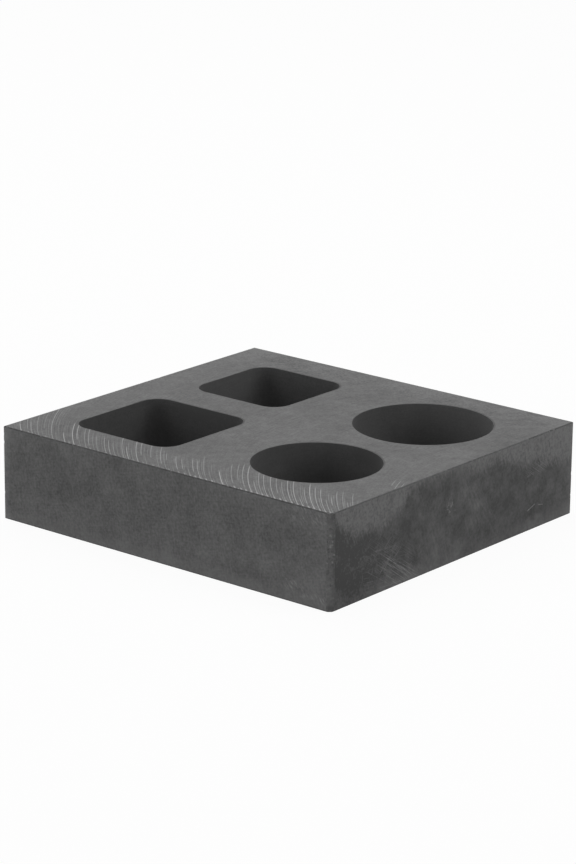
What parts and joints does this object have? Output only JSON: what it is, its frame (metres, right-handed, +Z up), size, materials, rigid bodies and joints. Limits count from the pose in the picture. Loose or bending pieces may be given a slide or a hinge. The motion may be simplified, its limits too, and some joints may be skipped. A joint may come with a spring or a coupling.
{
  "type": "ingot mould",
  "caption": "Flat graphite block with open square and round pockets whose sloping walls release cast metal ingots.",
  "frame": {"origin": "middle of the underside, where the block rests", "axes": "+Z up out of the pockets, +X along the long side from the square pockets to the round ones, +Y along the short side from the front row of pockets to the back row"},
  "size_m": [0.0826, 0.0764, 0.0191],
  "materials": {
    "graphite": "matte"
  },
  "bodies": {
    "root": {"mould_block": "graphite"}
  },
  "joints": []
}
